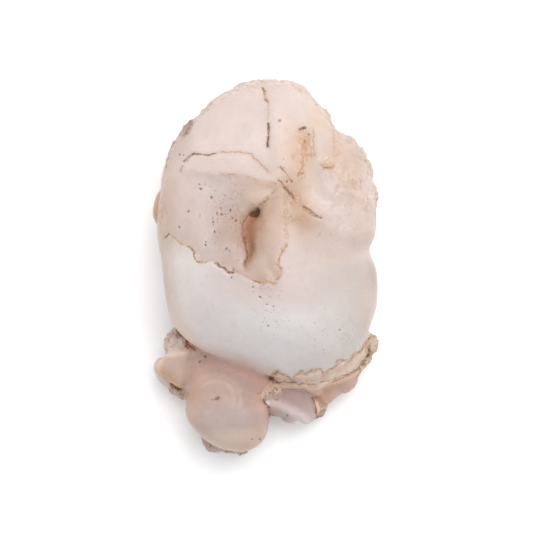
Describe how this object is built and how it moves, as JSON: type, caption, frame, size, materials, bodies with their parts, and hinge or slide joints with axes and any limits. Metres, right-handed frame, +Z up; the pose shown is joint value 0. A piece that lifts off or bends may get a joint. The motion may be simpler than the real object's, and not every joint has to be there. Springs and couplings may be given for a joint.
{
  "type": "pink chalcedony specimen",
  "caption": "Pinkish-white chalcedony nodule: smooth domed mass, cracked crown with a slotted hollow, drusy shoulder and small rounded lobes at its foot; lies on a flat broken back.",
  "frame": {"origin": "middle of the flat resting face, under the middle of the stone's outline", "axes": "+Z up from the resting face, +Y from the small lobes at the foot to the crown, +X to the drusy side"},
  "size_m": [0.0548, 0.092, 0.0401],
  "materials": {
    "pink_chalcedony": "waxy, slightly translucent"
  },
  "bodies": {
    "root": {"chalcedony": "pink_chalcedony"}
  },
  "joints": []
}
